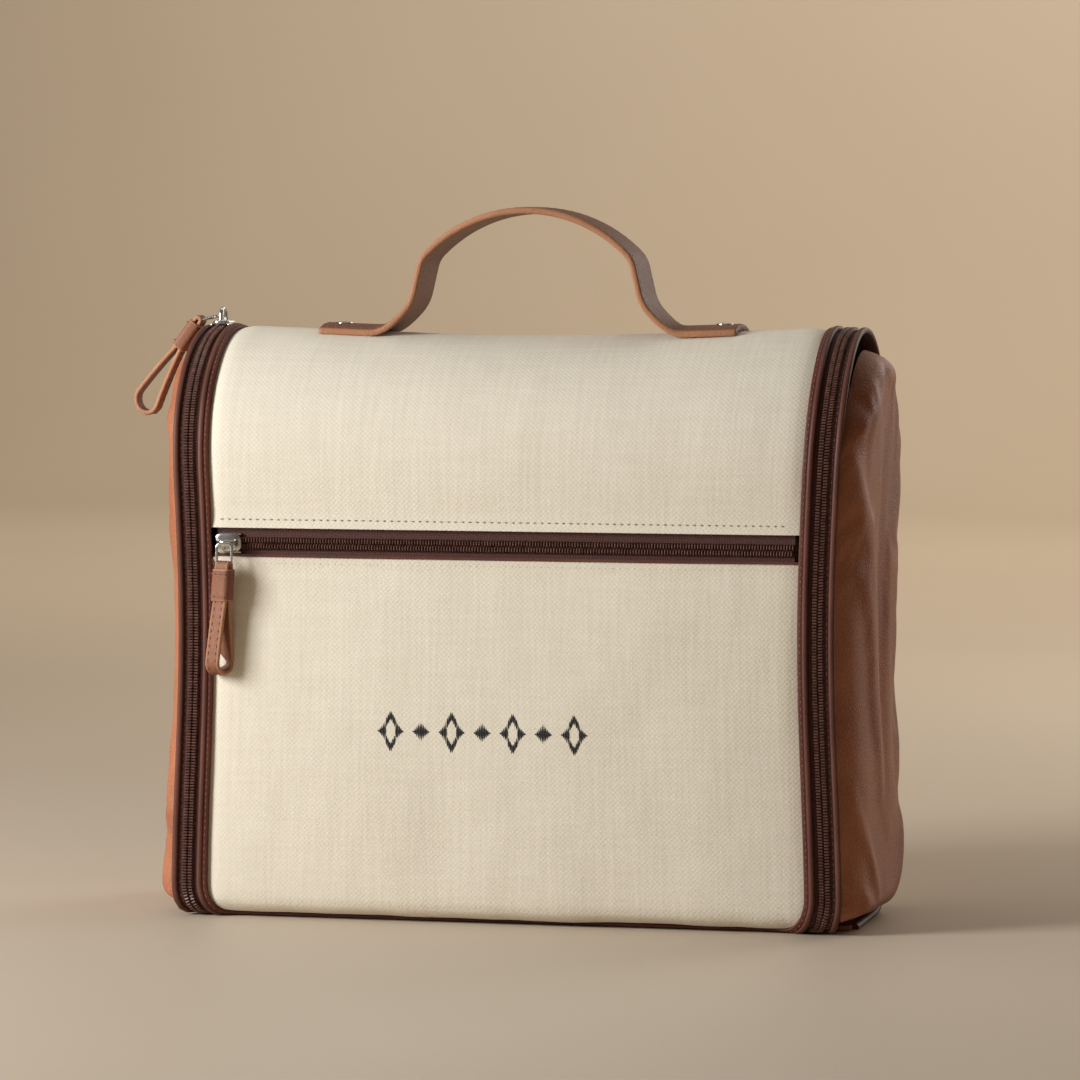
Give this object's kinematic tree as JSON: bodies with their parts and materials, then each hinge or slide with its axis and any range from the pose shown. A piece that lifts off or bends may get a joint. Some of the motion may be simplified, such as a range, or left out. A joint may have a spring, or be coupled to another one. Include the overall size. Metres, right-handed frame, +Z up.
{
  "type": "shaving kit bag",
  "caption": "Upright canvas and leather kit bag whose zipped cover wraps from the crown down the front, with a front zip pocket and a leather strap handle.",
  "frame": {"origin": "on the ground under the middle of the base", "axes": "+X to the right seen from the front, -Y out of the front, +Z up"},
  "size_m": [0.3079, 0.1129, 0.2789],
  "materials": {
    "canvas": "matte woven cotton canvas",
    "tan_leather": "satin grained leather",
    "binding": "satin leather binding",
    "zip_tape": "matte woven tape",
    "zip_coil": "satin nylon coil",
    "lining": "plain woven lining",
    "mesh": "knitted mesh",
    "elastic": "ribbed elastic",
    "stiffener": "plain board",
    "nickel": "polished nickel"
  },
  "bodies": {
    "tub": {"back_panel": "canvas", "base_panel": "tan_leather", "back_board": "stiffener", "base_board": "stiffener", "tub_lining": "lining", "inner_mesh_pocket": "mesh", "inner_pocket_elastic": "elastic", "inner_pocket_left_edge": "elastic", "inner_pocket_right_edge": "elastic", "left_gusset": "tan_leather", "right_gusset": "tan_leather", "left_side_zip_tape": "zip_tape", "right_side_zip_tape": "zip_tape", "left_side_zip_coil": "zip_coil", "right_side_zip_coil": "zip_coil", "left_gusset_piping": "tan_leather", "right_gusset_piping": "tan_leather", "base_zip_coil": "zip_coil", "base_zip_tape": "zip_tape"},
    "top_flap": {"top_canvas": "canvas", "top_lining": "lining", "top_left_binding": "binding", "top_left_zip_tape": "zip_tape", "top_left_zip_coil": "zip_coil", "top_right_binding": "binding", "top_right_zip_tape": "zip_tape", "top_right_zip_coil": "zip_coil", "handle_left_foot": "tan_leather", "handle_right_foot": "tan_leather", "handle_left_rivet": "nickel", "handle_right_rivet": "nickel"},
    "front_flap": {"front_upper_strip": "canvas", "front_pocket_panel": "canvas", "pocket_zip_upper_tape": "zip_tape", "pocket_zip_lower_tape": "zip_tape", "pocket_zip_coil": "zip_coil", "front_board": "stiffener", "front_lining": "lining", "front_left_binding": "binding", "front_left_zip_tape": "zip_tape", "front_left_zip_coil": "zip_coil", "front_right_binding": "binding", "front_right_zip_tape": "zip_tape", "front_right_zip_coil": "zip_coil", "front_bottom_zip_coil": "zip_coil", "front_bottom_binding": "binding"},
    "handle": {"handle_strap": "tan_leather"},
    "pocket_slider": {"pocket_slider_body": "nickel", "pocket_slider_bridge": "nickel"},
    "pocket_pull": {"pocket_pull_bail": "nickel", "pocket_pull_keeper": "tan_leather", "pocket_pull_loop": "tan_leather"},
    "main_slider": {"main_slider_body": "nickel", "main_slider_under_plate": "nickel", "main_slider_bridge": "nickel"},
    "main_pull": {"main_pull_bar": "nickel", "main_pull_keeper": "tan_leather", "main_pull_loop": "tan_leather"}
  },
  "joints": [
    {"name": "top_flap_hinge", "type": "hinge", "parent": "tub", "child": "top_flap", "pos_m": [0, 0.0512, 0.182], "axis": [1, 0, 0], "range_deg": [-100, 0]},
    {"name": "front_flap_fold", "type": "hinge", "parent": "top_flap", "child": "front_flap", "pos_m": [0, -0.0512, 0.16], "axis": [1, 0, 0], "range_deg": [-100, 0]},
    {"name": "handle_lean", "type": "hinge", "parent": "top_flap", "child": "handle", "pos_m": [0, 0.002, 0.2355], "axis": [1, 0, 0], "range_deg": [-30, 30]},
    {"name": "pocket_slider_travel", "type": "slide", "parent": "front_flap", "child": "pocket_slider", "axis": [1, 0, 0], "range_m": [0, 0.213]},
    {"name": "pocket_pull_swing", "type": "hinge", "parent": "pocket_slider", "child": "pocket_pull", "pos_m": [-0.1095, -0.0566, 0.147], "axis": [1, 0, 0], "range_deg": [-100, 0]},
    {"name": "main_slider_travel", "type": "hinge", "parent": "top_flap", "child": "main_slider", "pos_m": [-0.127, 0.002, 0.182], "axis": [1, 0, 0], "range_deg": [0, 28]},
    {"name": "main_pull_swing", "type": "hinge", "parent": "main_slider", "child": "main_pull", "pos_m": [-0.127, 0.002, 0.2352], "axis": [0, 1, 0], "range_deg": [0, 150]}
  ]
}
